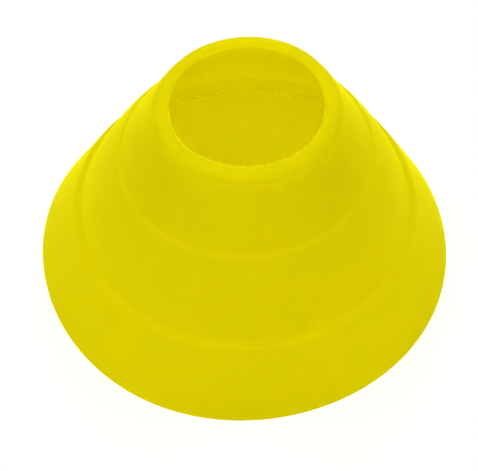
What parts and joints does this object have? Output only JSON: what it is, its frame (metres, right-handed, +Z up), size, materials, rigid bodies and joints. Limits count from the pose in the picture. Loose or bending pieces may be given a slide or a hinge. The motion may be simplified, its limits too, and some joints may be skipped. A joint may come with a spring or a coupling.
{
  "type": "sports marker cone",
  "caption": "Hollow stepped marker cone in soft yellow plastic, with an open beaded mouth and a plain foot edge. It stands on the ground to mark out a course, and nests over its like.",
  "frame": {"origin": "centre of the foot ring, at ground level", "axes": "+Z up along the cone's axis; +X and +Y lie on the ground, and the cone is the same from every side"},
  "size_m": [0.3, 0.3, 0.155],
  "materials": {
    "yellow_polyethylene": "satin, self-coloured low-density polyethylene as moulded, slightly translucent"
  },
  "bodies": {
    "root": {"cone_shell": "yellow_polyethylene"}
  },
  "joints": []
}
